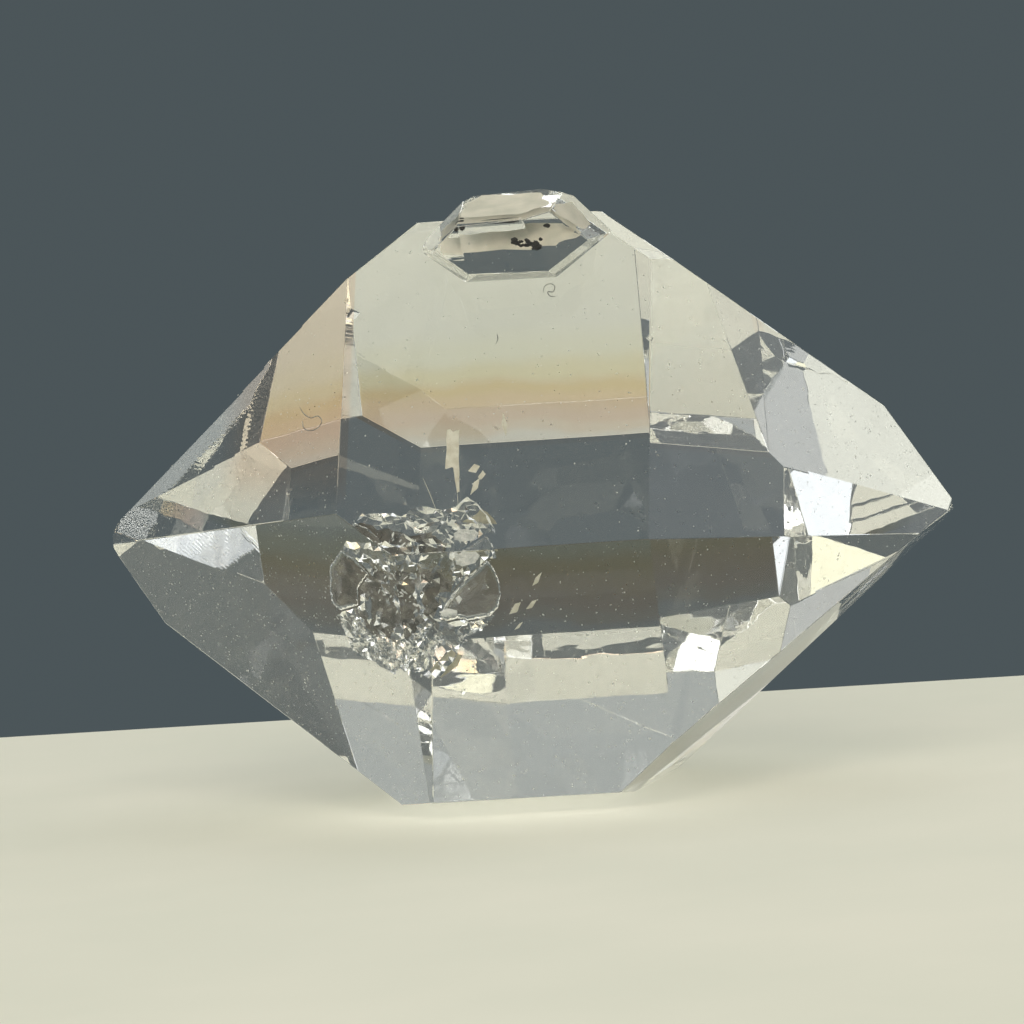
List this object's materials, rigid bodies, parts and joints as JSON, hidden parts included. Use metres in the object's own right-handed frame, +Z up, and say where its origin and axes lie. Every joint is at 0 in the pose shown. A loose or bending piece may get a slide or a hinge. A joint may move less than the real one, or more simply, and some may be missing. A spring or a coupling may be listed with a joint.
{
  "type": "herkimer diamond",
  "caption": "Clear quartz crystal pointed at both ends, lying on a small flat spot, with a smaller crystal grown on the top of its front.",
  "frame": {"origin": "on the flat spot on the underside, straight below the crystal's centre", "axes": "+X along the crystal's long axis, -Y towards the front, where the smaller crystal is, +Z up"},
  "size_m": [0.0253, 0.0163, 0.0178],
  "materials": {
    "clear_quartz": "natural crystal faces, clear and glossy"
  },
  "bodies": {
    "root": {"quartz_crystal": "clear_quartz"}
  },
  "joints": []
}
